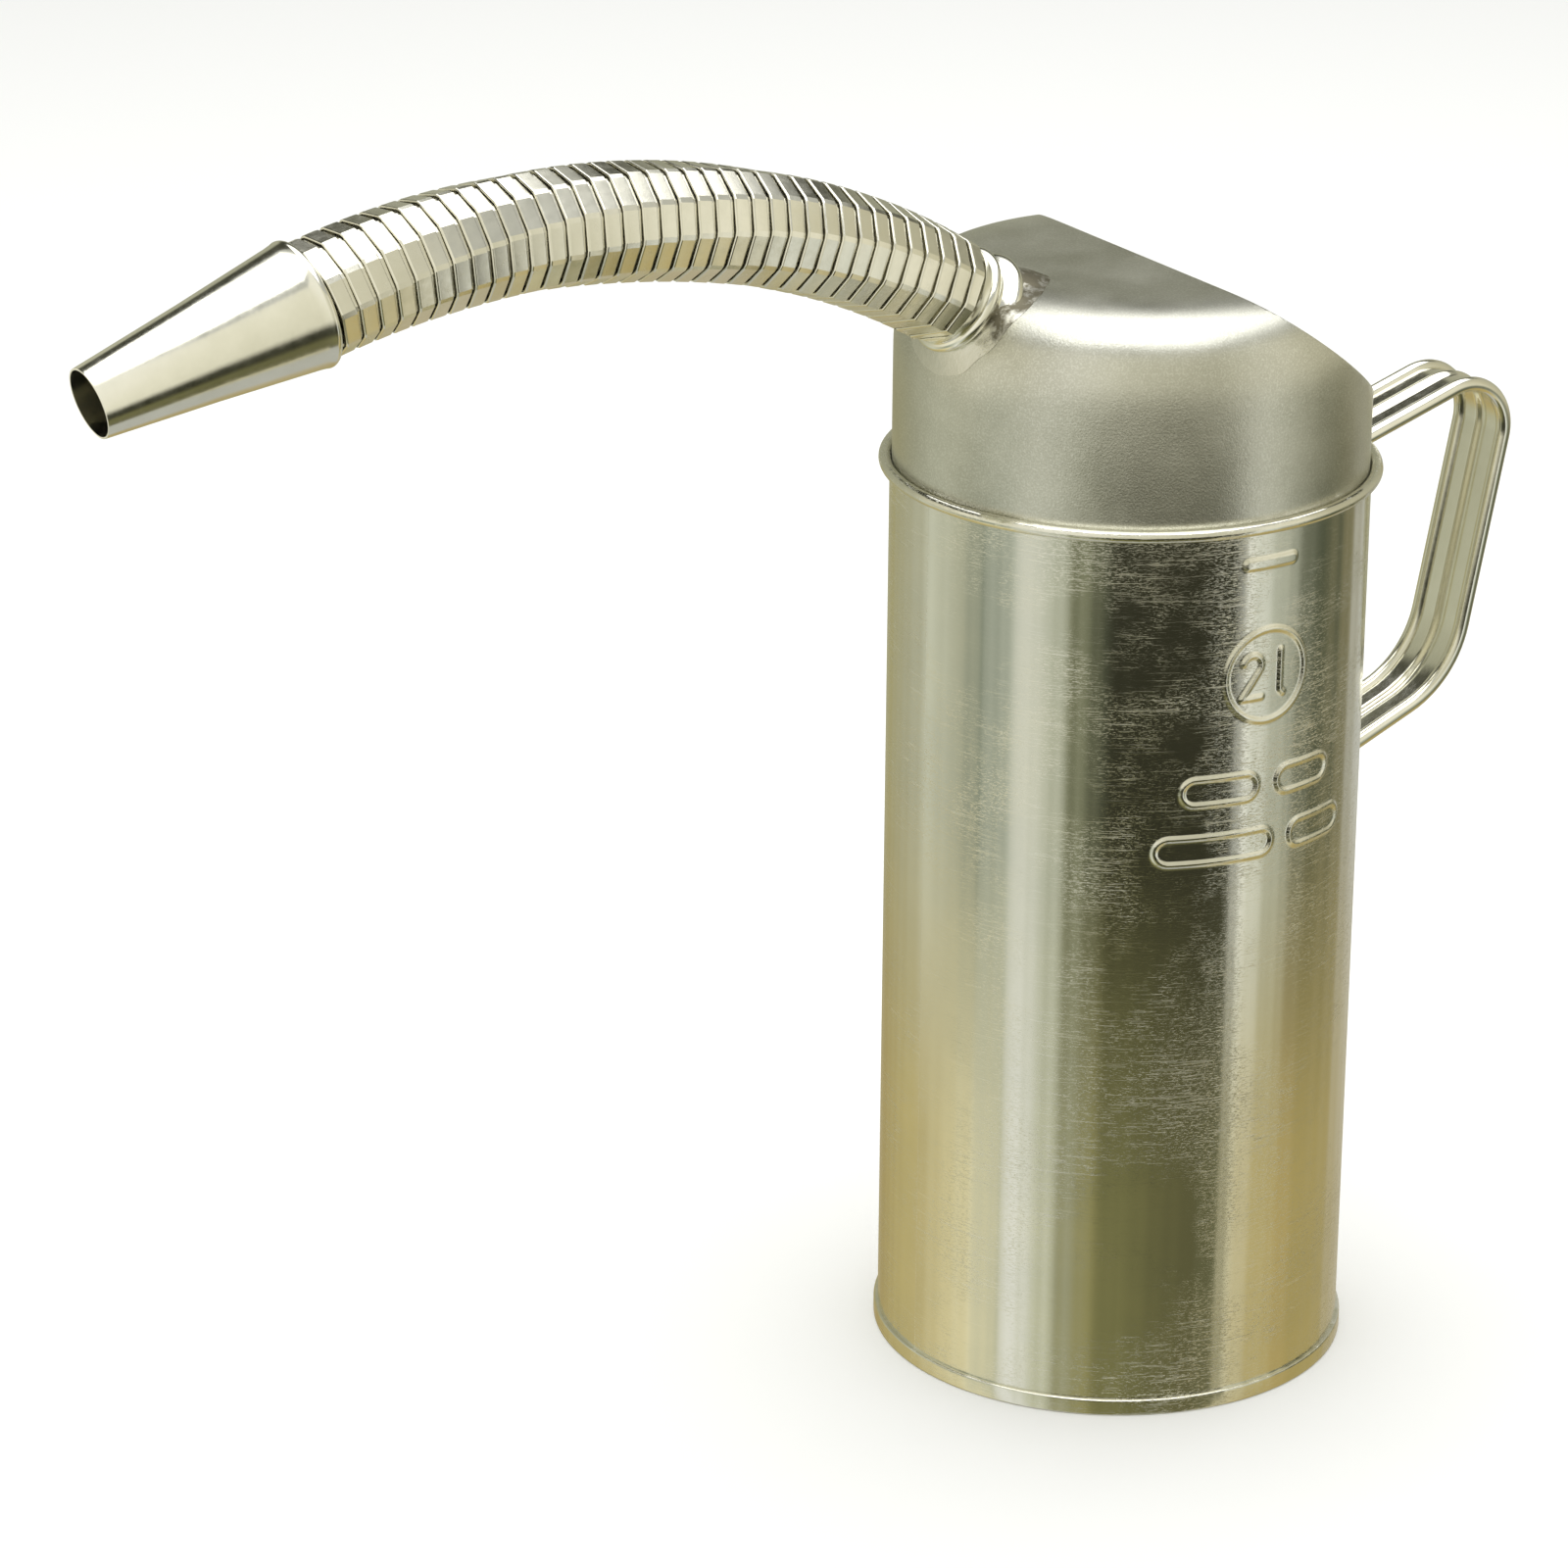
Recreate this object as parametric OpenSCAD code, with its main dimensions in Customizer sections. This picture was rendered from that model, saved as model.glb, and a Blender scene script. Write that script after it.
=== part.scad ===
// Two litre oil measuring can with a half cover, a flexible metal spout and a strap handle.
// Millimetres. Z is up, the floor is z = 0, the can's axis is x = y = 0.
// The spout points to -X, the handle to +X, and the embossed marks face -Y.

/* [Body] */
// Outer radius of the shell
body_radius = 56; // [45:0.5:80]
// Height of the curled rim's centre above the floor
body_height = 219.4; // [150:0.1:300]
// Thickness of the tinplate
sheet = 0.4; // [0.3:0.05:0.8]
// Radius of the curled rim bead
rim_bead = 1.45; // [1:0.05:2.5]
// Height of the double seam at the foot
seam_height = 4; // [3:0.1:6]
// How far the double seam stands out from the shell
seam_proud = 1; // [0.5:0.1:2]
// Height of the recessed bottom above the floor
bottom_recess = 3; // [1.5:0.1:3.5]
// Width of the side seam's lap, inside the shell behind the handle
side_seam = 5; // [3:0.5:8]
// Play between the side seam's lap and the cover's skirt above it
seam_play = 1; // [0.3:0.1:3]

/* [Cover] */
// Rise of the cover's flat top above the curled rim's centre
cover_rise = 48.6; // [35:0.2:80]
// Radius of the cover's rounded shoulder
shoulder = 26; // [15:0.5:40]
// How far behind the can's axis the slanted cut begins
cut_start = 1.7; // [0:0.1:20]
// Slope of the cut, down toward the handle
cut_slope = 35.5; // [20:0.5:50]
// How far the skirt reaches down inside the rim
skirt_depth = 6; // [3:0.5:15]
// Radial play between the skirt and the shell
skirt_play = 0.05; // [0.02:0.01:0.2]

/* [Marks] */
// How far the level bar, which shows two litres, lies below the rim's centre
level_drop = 8.8; // [4:0.1:40]
// Width of the level bar
level_width = 15; // [8:0.5:30]
// How far the marks stand out from the shell
relief = 0.5; // [0.2:0.05:1]
// Width of the embossed lines
mark_line = 1.5; // [0.8:0.1:3]
// Outer radius of the ring round the capacity figure
ring_radius = 11.75; // [8:0.25:20]
// How far the ring's centre lies below the level bar
ring_drop = 27.1; // [16:0.1:50]
// How far the upper row of blank panels lies below the ring's centre
upper_row_drop = 26.5; // [18:0.1:50]
// How far the lower row lies below the upper row
lower_row_drop = 14.2; // [10:0.1:30]
// Height of a blank panel
panel_height = 7.8; // [5:0.1:12]

/* [Spout] */
// Where the neck sits on the shoulder: the angle round it, up from level
seat_angle = 52.7; // [35:0.1:70]
// How far the hose begins from the cover, along the neck
neck_stand = 8.8; // [6:0.1:20]
// Slope of the neck on the cover's shoulder
neck_slope = 34; // [20:0.5:50]
// How much the hose's first turn bends down from the neck
first_bend = 3.5; // [0:0.1:5]
// How much each turn bends down from the one before it
turn_bend = 1.31; // [0:0.01:2]
// How much each turn's flats are twisted from the one before it
turn_twist = 2; // [0:0.25:4]
// Length of one turn along the hose
turn_pitch = 4.66; // [3.5:0.02:6]
// Radius of the hose over its corners
hose_radius = 13.4; // [10:0.1:18]
// Gap between one turn's band and the next
turn_gap = 0.9; // [0.86:0.02:1.4]
// Thickness of a turn's band at its corners
band_wall = 1; // [0.6:0.05:1.5]
// Play between the hose's tongue and the neck's bore
neck_play = 0.2; // [0.1:0.05:0.6]
// How far the neck tube reaches back through the cover
neck_length = 21; // [15:0.5:30]
// Length of the nozzle
nozzle_length = 53; // [30:0.5:90]
// How far the nozzle's large end stands out from the hose
nozzle_proud = 0.9; // [0.4:0.1:3]
// Outer radius of the nozzle's tip
nozzle_tip = 8; // [4:0.1:12]

/* [Handle] */
// Width of the strap
handle_width = 20; // [12:0.5:35]
// Radius of the strap's rolled edges
handle_roll = 1.8; // [1.2:0.1:3]
// Thickness of the strap's sheet
handle_sheet = 0.7; // [0.4:0.05:1.2]
// Slope of the strap's top run, rising from the rim
top_slope = 17.4; // [0:0.2:30]
// Lean of the grip, in toward the foot
grip_lean = 11.6; // [0:0.2:25]
// Slope of the lower run, falling toward the shell
lower_slope = 22.3; // [0:0.1:40]
// How far below the rim's centre the strap's outer side meets the shell
handle_drop = 2.9; // [2:0.1:20]
// How far from the shell the top run and the grip would meet
handle_reach = 54; // [35:0.5:80]
// Length of the grip between its two corners
grip_length = 85.5; // [60:0.5:140]
// Outer radius of the top bend
top_bend = 14; // [8:0.5:20]
// Outer radius of the lower bend
lower_bend = 16; // [8:0.5:25]

/* [Hidden] */
$fa = 6;
$fs = 0.5;
overcut = 1;
far = 200;

// colours
tinplate = [0.78, 0.77, 0.70];
satin_tin = [0.66, 0.66, 0.62];
solder_grey = [0.62, 0.62, 0.60];

// body
inner_radius = body_radius - sheet;
seam_outer = body_radius + seam_proud;
seam_inner = inner_radius - sheet;
bottom_top = bottom_recess + sheet;
rim_bite = 0.3;
rim_ring = body_radius + rim_bead - rim_bite;
seam_turn = side_seam / inner_radius * 180 / PI;

// cover
cover_radius = inner_radius - skirt_play;
cover_top = body_height + cover_rise;
shoulder_centre = [cover_radius - shoulder, cover_top - shoulder];
skirt_foot = body_height - skirt_depth;
arc_steps = 16;

// marks
mark_root = body_radius - sheet / 4;
mark_face = body_radius + relief;
level_height = body_height - level_drop;
ring_height = level_height - ring_drop;
upper_row = ring_height - upper_row_drop;
lower_row = upper_row - lower_row_drop;
level_line = 2.6;
figure_height = 11.5;
figure_width = 6;
figure_gap = 2.2;
// each panel in a row: where its middle is across the marks, and its width
upper_panels = [[-11, 20], [12, 18]];
lower_panels = [[-11.5, 30], [17, 19]];
slot_steps = 8;

// hose
turn_count = 36;
sides = 10;
hose_slope = neck_slope - first_bend;
first_roll = -4.3;
web = 0.8;
tongue_reach = 1.7;
tongue_wall = 0.8;
band_from = turn_gap / 2;
band_to = turn_pitch - turn_gap / 2;
band_inner = hose_radius - band_wall;
tongue_play = 1.4;
tongue_outer = band_inner - tongue_play;
tongue_inner = tongue_outer - tongue_wall;

// neck
neck_bore = tongue_outer + neck_play;
neck_radius = neck_bore + sheet;
neck_way = [cos(neck_slope), sin(neck_slope)];
neck_seat = shoulder_centre + shoulder * [cos(seat_angle), sin(seat_angle)];
hose_start = neck_seat + neck_stand * neck_way;
outer_bead = 1.4;
outer_bead_at = -4.2;
inner_bead = 1.9;
inner_bead_at = -10.2;
inner_bead_proud = 0.5;
inner_bead_ring = neck_radius + inner_bead_proud;
solder_from = -24;
solder_to = -11;
solder_spread = 7.4;
solder_collar = 1.8;
solder_root = neck_radius + solder_spread;
solder_top = neck_radius + solder_collar;
hole_reach = 10;

// nozzle
lip = 1.3;
lip_at = lip - band_from;
nozzle_large = hose_radius + nozzle_proud;
lip_drop = 0.8;
lip_ring = nozzle_large - lip_drop;
nozzle_wall = 0.45;
spigot_to = 0.8;

// handle
pad_sheet = 0.7;
pad_face = body_radius + pad_sheet;
pad_width = handle_width + 4;
pad_height = 12;
pad_drop = 2;
rib_top = 1.9;
rib_foot = 3.4;
rib_step = 0.3;
strap_top = handle_sheet / 2 - handle_roll;
strap_bottom = strap_top - handle_sheet;
strap_lap = 0.02;
roll_join = 180 - asin(handle_sheet / 2 / handle_roll);
rib_face = -0.1;
rib_back = rib_face - handle_sheet;
top_turn = top_slope + 90 + grip_lean;
lower_turn = 90 - lower_slope - grip_lean;
top_corner = [
    body_radius + handle_reach,
    body_height - handle_drop + handle_reach * tan(top_slope)
];
grip_way = [-sin(grip_lean), -cos(grip_lean)];
lower_corner = top_corner + grip_length * grip_way;
top_way = [cos(top_slope), sin(top_slope)];
lower_way = [-cos(lower_slope), -sin(lower_slope)];
top_tangent = top_bend * tan(top_turn / 2);
lower_tangent = lower_bend * tan(lower_turn / 2);
strap_tuck = 4;
top_start = top_corner - top_way * (top_corner[0] - body_radius + strap_tuck) / cos(top_slope);
lower_end =
    lower_corner + lower_way * (lower_corner[0] - body_radius + strap_tuck) / cos(lower_slope);
top_bend_start = top_corner - top_way * top_tangent;
top_bend_end = top_corner + grip_way * top_tangent;
lower_bend_start = lower_corner - grip_way * lower_tangent;
lower_bend_end = lower_corner + lower_way * lower_tangent;
top_bend_centre = top_bend_start + top_bend * [sin(top_slope), -cos(top_slope)];
lower_bend_centre = lower_bend_start + lower_bend * [-cos(grip_lean), sin(grip_lean)];

// Points of an arc about a centre, both ends included.
function arc(centre, radius, from, to, steps) =
    [for (k = [0:steps]) let (a = from + (to - from) * k / steps)
        centre + radius * [cos(a), sin(a)]];

// Slope of a turn of the hose, and the point where it pivots on the turn before it.
function turn_slope(i) = hose_slope - (i - 1) * turn_bend;
function turn_start(i) =
    i <= 1
        ? hose_start
        : turn_start(i - 1) + turn_pitch * [cos(turn_slope(i - 1)), sin(turn_slope(i - 1))];

// A line round a slot: a bar with round ends, lying flat.
function slot_outline(width, height) =
    concat(
        arc([width / 2 - height / 2, 0], height / 2, -90, 90, slot_steps),
        arc([height / 2 - width / 2, 0], height / 2, 90, 270, slot_steps)
    );

// Turns a profile of [along, radius] points round the X axis.
module lathe_x(points) {
    rotate([0, 90, 0])
        rotate_extrude()
            polygon([for (p = points) [p[1], p[0]]]);
}

// Puts a piece on the spout's line, with its own X pointing out along the spout.
module on_spout(start, slope) {
    translate([-start[0], 0, start[1]])
        rotate([0, 0, 180])
            rotate([0, -slope, 0])
                children();
}

module on_neck() {
    on_spout(hose_start, neck_slope)
        children();
}

// A torus round the X axis.
module bead_x(at, ring, bead) {
    translate([at, 0, 0])
        rotate([0, 90, 0])
            rotate_extrude()
                translate([ring, 0])
                    circle(r = bead);
}

module tube_x(from, to, outer, inner) {
    lathe_x([[from, inner], [from, outer], [to, outer], [to, inner]]);
}

// A band of flats round the X axis, with a bore of flats.
module flat_ring_x(from, to, outer, inner) {
    translate([from, 0, 0])
        rotate([0, 90, 0])
            difference() {
                cylinder(r = outer, h = to - from, $fn = sides);
                translate([0, 0, -overcut])
                    cylinder(r = inner, h = to - from + 2 * overcut, $fn = sides);
            }
}

// ---- body ----

// Wraps a flat outline onto the shell's -Y side, at a height.
module embossed(height) {
    intersection() {
        difference() {
            cylinder(r = mark_face, h = body_height);
            translate([0, 0, -overcut])
                cylinder(r = mark_root, h = body_height + 2 * overcut);
        }
        translate([0, 0, height])
            rotate([90, 0, 0])
                linear_extrude(height = far)
                    children();
    }
}

module slot(width, height) {
    polygon(slot_outline(width, height));
}

module ring_2d(outer) {
    difference() {
        circle(r = outer);
        circle(r = outer - mark_line);
    }
}

module blank_panel(at, width) {
    translate([at, 0])
        difference() {
            slot(width, panel_height);
            slot(width - 2 * mark_line, panel_height - 2 * mark_line);
        }
}

// A plain two, drawn with three bars and two posts, and a plain upright for litres.
module capacity_figure() {
    half = figure_height / 2;
    post = half + mark_line / 2;
    left = -figure_gap / 2 - figure_width;
    for (y = [half - mark_line, -mark_line / 2, -half])
        translate([left, y])
            square([figure_width, mark_line]);
    translate([left + figure_width - mark_line, -mark_line / 2])
        square([mark_line, post]);
    translate([left, -half])
        square([mark_line, post]);
    translate([figure_gap, -half])
        square([mark_line, figure_height]);
    translate([figure_gap, -half])
        square([figure_width - mark_line, mark_line]);
}

// The soldered lap that closes the shell, from the double seam up to the cover's skirt.
module side_lap() {
    rotate([0, 0, -seam_turn / 2])
        rotate_extrude(angle = seam_turn)
            translate([inner_radius - sheet, seam_height + sheet])
                square([1.5 * sheet, skirt_foot - seam_play - seam_height - sheet]);
}

module body_shell() {
    color(tinplate) {
        rotate_extrude() {
            translate([inner_radius, seam_height])
                square([sheet, body_height - seam_height]);
            translate([rim_ring, body_height])
                circle(r = rim_bead);
        }
        side_lap();
        embossed(level_height)
            slot(level_width, level_line);
        embossed(ring_height)
            ring_2d(ring_radius);
        embossed(ring_height)
            capacity_figure();
        embossed(upper_row)
            for (panel = upper_panels)
                blank_panel(panel[0], panel[1]);
        embossed(lower_row)
            for (panel = lower_panels)
                blank_panel(panel[0], panel[1]);
    }
}

module bottom_disc() {
    color(tinplate)
        rotate_extrude()
            polygon([
                [0, bottom_recess],
                [seam_inner, bottom_recess],
                [seam_inner, sheet],
                [seam_inner + sheet, 0],
                [seam_outer - sheet, 0],
                [seam_outer, sheet],
                [seam_outer, seam_height - sheet],
                [seam_outer - sheet, seam_height],
                [inner_radius, seam_height],
                [inner_radius, bottom_top],
                [0, bottom_top]
            ]);
}

// ---- cover ----

// The solid inside a drawn shell of one radius, from the skirt's foot up.
module shell_solid(radius, top, bend, foot) {
    rotate_extrude()
        polygon(concat(
            [[0, foot], [radius, foot]],
            arc([radius - bend, top - bend], bend, 0, 90, arc_steps),
            [[0, top]]
        ));
}

// Everything above the slanted cut that opens the mouth behind the axis.
module above_cut() {
    translate([cut_start, -far / 2, cover_top])
        rotate([0, cut_slope, 0])
            translate([0, 0, -overcut / 100])
                cube([far, far, far]);
}

module neck_hole() {
    on_neck()
        translate([-neck_length - hole_reach, 0, 0])
            rotate([0, 90, 0])
                cylinder(r = neck_radius, h = neck_length + hole_reach);
}

module half_cover() {
    color(satin_tin)
        difference() {
            shell_solid(cover_radius, cover_top, shoulder, skirt_foot);
            shell_solid(
                cover_radius - sheet, cover_top - sheet, shoulder - sheet, skirt_foot - overcut
            );
            above_cut();
            neck_hole();
        }
}

// ---- neck ----

module spout_neck() {
    color(tinplate)
        difference() {
            on_neck()
                difference() {
                    union() {
                        tube_x(-neck_length, -band_from, neck_radius, neck_bore);
                        bead_x(outer_bead_at, neck_radius, outer_bead);
                        bead_x(inner_bead_at, inner_bead_ring, inner_bead);
                    }
                    translate([-neck_length, 0, 0])
                        rotate([0, 90, 0])
                            cylinder(r = neck_bore, h = neck_length);
                }
            // the inner bead stops where it meets the cover
            difference() {
                shell_solid(cover_radius, cover_top, shoulder, skirt_foot);
                neck_hole();
            }
        }
}

module neck_solder() {
    color(solder_grey)
        difference() {
            on_neck()
                lathe_x([
                    [solder_from, neck_radius],
                    [solder_from, solder_root],
                    [solder_to, solder_top],
                    [solder_to, neck_radius]
                ]);
            shell_solid(cover_radius, cover_top, shoulder, skirt_foot);
            on_neck()
                bead_x(inner_bead_at, inner_bead_ring, inner_bead);
        }
}

// ---- hose ----

// One turn: a band of flats outside, and a tongue that reaches back into the turn before it.
module hose_turn(i) {
    color(tinplate)
        on_spout(turn_start(i), turn_slope(i))
            rotate([first_roll - (i - 1) * turn_twist, 0, 0]) {
                flat_ring_x(band_from, band_from + web, hose_radius, tongue_inner);
                flat_ring_x(band_from + web, band_to, hose_radius, band_inner);
                flat_ring_x(-tongue_reach, band_from, tongue_outer, tongue_inner);
            }
}

module nozzle() {
    color(tinplate)
        on_spout(turn_start(turn_count + 1), turn_slope(turn_count)) {
            bead_x(lip_at, lip_ring, lip);
            lathe_x([
                [-tongue_reach, tongue_inner],
                [-tongue_reach, tongue_outer - tongue_wall / 2],
                [0, tongue_outer - tongue_wall / 2],
                [0, lip_ring],
                [spigot_to, lip_ring],
                [spigot_to, tongue_inner]
            ]);
            lathe_x([
                [lip_at, nozzle_large - nozzle_wall],
                [lip_at, nozzle_large],
                [nozzle_length, nozzle_tip],
                [nozzle_length, nozzle_tip - nozzle_wall]
            ]);
        }
}

// ---- handle ----

// The strap across its width: rolled edges, a flat sheet and a raised middle rib.
// X runs across the strap and Y outward, with the outer surface at y = 0.
module strap_section() {
    edge = handle_width / 2 - handle_roll;
    polygon(concat(
        [
            [-rib_foot, strap_top],
            [-rib_top, rib_face],
            [rib_top, rib_face],
            [rib_foot, strap_top]
        ],
        arc([edge, -handle_roll], handle_roll, roll_join, -roll_join, arc_steps),
        [
            [rib_foot - rib_step, strap_bottom],
            [rib_top - rib_step, rib_back],
            [rib_step - rib_top, rib_back],
            [rib_step - rib_foot, strap_bottom]
        ],
        arc([-edge, -handle_roll], handle_roll, roll_join - 180, -180 - roll_join, arc_steps)
    ));
}

// A straight run between two points of the strap's outer line.
module strap_run(from, to) {
    way = to - from;
    translate([from[0], 0, from[1]])
        rotate([0, -atan2(way[1], way[0]), 0])
            rotate([90, 0, 90])
                linear_extrude(height = norm(way))
                    strap_section();
}

module strap_bend(centre, radius, from, turn) {
    translate([centre[0], 0, centre[1]])
        rotate([90, 0, 0])
            rotate([0, 0, from])
                rotate_extrude(angle = turn)
                    translate([radius, 0])
                        rotate(-90)
                            strap_section();
}

module handle() {
    color(tinplate)
        difference() {
            union() {
                strap_run(top_start, top_bend_start + strap_lap * top_way);
                strap_bend(top_bend_centre, top_bend, -grip_lean, top_turn);
                strap_run(top_bend_end - strap_lap * grip_way, lower_bend_start + strap_lap * grip_way);
                strap_bend(lower_bend_centre, lower_bend, -grip_lean - lower_turn, lower_turn);
                strap_run(lower_bend_end - strap_lap * lower_way, lower_end);
            }
            cylinder(r = pad_face, h = far + far);
        }
}

// A tab bent to the shell, under one end of the strap.
module handle_pad(middle) {
    color(tinplate)
        intersection() {
            difference() {
                cylinder(r = pad_face, h = body_height);
                translate([0, 0, -overcut])
                    cylinder(r = body_radius, h = body_height + 2 * overcut);
            }
            translate([0, -pad_width / 2, middle - pad_height / 2])
                cube([far, pad_width, pad_height]);
        }
}

module handle_pad_upper() {
    handle_pad(body_height - rim_bead - pad_height / 2);
}

module handle_pad_lower() {
    handle_pad(lower_end[1] - pad_drop);
}

module hose_turn_01() {
    hose_turn(1);
}

module hose_turn_02() {
    hose_turn(2);
}

module hose_turn_03() {
    hose_turn(3);
}

module hose_turn_04() {
    hose_turn(4);
}

module hose_turn_05() {
    hose_turn(5);
}

module hose_turn_06() {
    hose_turn(6);
}

module hose_turn_07() {
    hose_turn(7);
}

module hose_turn_08() {
    hose_turn(8);
}

module hose_turn_09() {
    hose_turn(9);
}

module hose_turn_10() {
    hose_turn(10);
}

module hose_turn_11() {
    hose_turn(11);
}

module hose_turn_12() {
    hose_turn(12);
}

module hose_turn_13() {
    hose_turn(13);
}

module hose_turn_14() {
    hose_turn(14);
}

module hose_turn_15() {
    hose_turn(15);
}

module hose_turn_16() {
    hose_turn(16);
}

module hose_turn_17() {
    hose_turn(17);
}

module hose_turn_18() {
    hose_turn(18);
}

module hose_turn_19() {
    hose_turn(19);
}

module hose_turn_20() {
    hose_turn(20);
}

module hose_turn_21() {
    hose_turn(21);
}

module hose_turn_22() {
    hose_turn(22);
}

module hose_turn_23() {
    hose_turn(23);
}

module hose_turn_24() {
    hose_turn(24);
}

module hose_turn_25() {
    hose_turn(25);
}

module hose_turn_26() {
    hose_turn(26);
}

module hose_turn_27() {
    hose_turn(27);
}

module hose_turn_28() {
    hose_turn(28);
}

module hose_turn_29() {
    hose_turn(29);
}

module hose_turn_30() {
    hose_turn(30);
}

module hose_turn_31() {
    hose_turn(31);
}

module hose_turn_32() {
    hose_turn(32);
}

module hose_turn_33() {
    hose_turn(33);
}

module hose_turn_34() {
    hose_turn(34);
}

module hose_turn_35() {
    hose_turn(35);
}

module hose_turn_36() {
    hose_turn(36);
}

body_shell();
bottom_disc();
half_cover();
spout_neck();
neck_solder();
handle();
handle_pad_upper();
handle_pad_lower();
hose_turn_01();
hose_turn_02();
hose_turn_03();
hose_turn_04();
hose_turn_05();
hose_turn_06();
hose_turn_07();
hose_turn_08();
hose_turn_09();
hose_turn_10();
hose_turn_11();
hose_turn_12();
hose_turn_13();
hose_turn_14();
hose_turn_15();
hose_turn_16();
hose_turn_17();
hose_turn_18();
hose_turn_19();
hose_turn_20();
hose_turn_21();
hose_turn_22();
hose_turn_23();
hose_turn_24();
hose_turn_25();
hose_turn_26();
hose_turn_27();
hose_turn_28();
hose_turn_29();
hose_turn_30();
hose_turn_31();
hose_turn_32();
hose_turn_33();
hose_turn_34();
hose_turn_35();
hose_turn_36();
nozzle();
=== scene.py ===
"""Visual model of the oil measuring can: half cover, wound metal spout, strap handle.

The can's and the camera's lengths are millimetres, as in part.scad, and MM turns them into metres.
The lengths in the materials, the surround and the lights are metres.
Z is up, the spout points to -X, the handle to +X and the embossed marks face -Y.
"""
import math

import bmesh
import bpy
import numpy as np
from mathutils import Matrix, Vector, noise


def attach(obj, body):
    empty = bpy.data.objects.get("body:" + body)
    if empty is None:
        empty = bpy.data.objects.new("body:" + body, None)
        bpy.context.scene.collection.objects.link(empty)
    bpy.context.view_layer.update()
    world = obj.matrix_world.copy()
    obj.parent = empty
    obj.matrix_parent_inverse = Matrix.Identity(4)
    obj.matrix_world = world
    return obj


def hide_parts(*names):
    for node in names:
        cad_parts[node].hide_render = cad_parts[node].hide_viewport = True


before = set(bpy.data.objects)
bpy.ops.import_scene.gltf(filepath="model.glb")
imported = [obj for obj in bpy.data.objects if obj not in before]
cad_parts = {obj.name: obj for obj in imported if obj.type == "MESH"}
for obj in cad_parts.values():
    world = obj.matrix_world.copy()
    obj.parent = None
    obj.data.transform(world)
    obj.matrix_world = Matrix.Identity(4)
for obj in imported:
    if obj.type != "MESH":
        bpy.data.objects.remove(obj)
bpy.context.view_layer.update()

MM = 0.001
TAU = 2 * math.pi
# Radius, in millimetres, of the pinhole that stands for a disc's middle
NEAR_AXIS = 0.01

# ---- sizes, as in part.scad unless a comment says otherwise ----
BODY_RADIUS = 56.0
RIM_HEIGHT = 219.4
RIM_BEAD = 1.45
RIM_BITE = 0.3
RIM_RING = BODY_RADIUS + RIM_BEAD - RIM_BITE
SHEET = 0.4
INNER_RADIUS = BODY_RADIUS - SHEET
SEAM_HEIGHT = 4.0
SEAM_OUTER = 57.0
# Height of the recessed bottom's underside
BOTTOM = 3.0

COVER_RADIUS = 55.55
COVER_TOP = 268.0
SHOULDER = 26.0
# The photograph's shoulder is a little lower than it is deep; in part.scad both are 26.
SHOULDER_HEIGHT = 24.5
SKIRT_FOOT = 213.4
CUT_START = 1.7
CUT_SLOPE = math.radians(35.5)

# Places in the upright plane through the handle and the spout are (out from the axis, up).
HOSE_START = (52.6, 267.6)
NECK_SLOPE = math.radians(34)
HOSE_SLOPE = math.radians(30.5)
TURN_BEND = math.radians(1.31)
TURN_TWIST = math.radians(2)
FIRST_ROLL = math.radians(-4.3)
TURN_PITCH = 4.66
TURN_COUNT = 36
LAST_BODY = f"turn_{TURN_COUNT:02d}"
TURN_GAP = 0.9
HOSE_RADIUS = 13.4
SIDES = 10
HALF_SIDE = math.pi / SIDES
NECK_RADIUS = 11.6
NOZZLE_LENGTH = 53.0
NOZZLE_LARGE = 14.3
NOZZLE_TIP = 8.0

HANDLE_WIDTH = 20.0
HANDLE_ROLL = 1.8
HANDLE_SHEET = 0.7
TOP_SLOPE = math.radians(17.4)
GRIP_LEAN = math.radians(11.6)
LOWER_SLOPE = math.radians(22.3)
TOP_CORNER = (110.0, 233.4)
GRIP_LENGTH = 85.5
TOP_BEND = 14.0
# The photograph's lower bend is wider than part.scad's 16.
LOWER_BEND = 27.0


# ---- meshes ----

def finish_mesh(piece, sharp_degrees):
    """Smooth shading, with edges sharper than the angle kept crisp."""
    mesh = piece.data
    mesh.polygons.foreach_set("use_smooth", [True] * len(mesh.polygons))
    mesh.set_sharp_from_angle(angle=math.radians(sharp_degrees))
    mesh.update()
    return piece


def new_piece(name, points, faces, sharp_degrees=30):
    """A mesh object from points in millimetres."""
    mesh = bpy.data.meshes.new(name)
    mesh.from_pydata([tuple(c * MM for c in p) for p in points], [], faces)
    mesh.validate()
    shell = bmesh.new()
    shell.from_mesh(mesh)
    bmesh.ops.recalc_face_normals(shell, faces=shell.faces)
    shell.to_mesh(mesh)
    shell.free()
    piece = bpy.data.objects.new(name, mesh)
    bpy.context.scene.collection.objects.link(piece)
    return finish_mesh(piece, sharp_degrees)


def ring_faces(rows, columns, wrap_rows=False):
    """Quads between neighbouring points of rings stored one after another."""
    faces = []
    for r in range(rows if wrap_rows else rows - 1):
        here, below = r * columns, (r + 1) % rows * columns
        for c in range(columns):
            right = (c + 1) % columns
            faces.append((here + c, here + right, below + right, below + c))
    return faces


def capped_faces(rows, columns):
    """Quads between rings, and one face across each end."""
    first = tuple(range(columns))
    end = (rows - 1) * columns
    return ring_faces(rows, columns) + [first, tuple(reversed(range(end, end + columns)))]


def lathe(name, profile, steps, place=None, sharp_degrees=30):
    """Turns a closed outline of (along, radius) points round local X, or round Z with no place."""
    points = []
    for along, radius in profile:
        for k in range(steps):
            a = TAU * k / steps
            x, y = radius * math.cos(a), radius * math.sin(a)
            points.append(place @ Vector((along, x, y)) if place else Vector((x, y, along)))
    return new_piece(name, points, ring_faces(len(profile), steps, wrap_rows=True), sharp_degrees)


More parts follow.
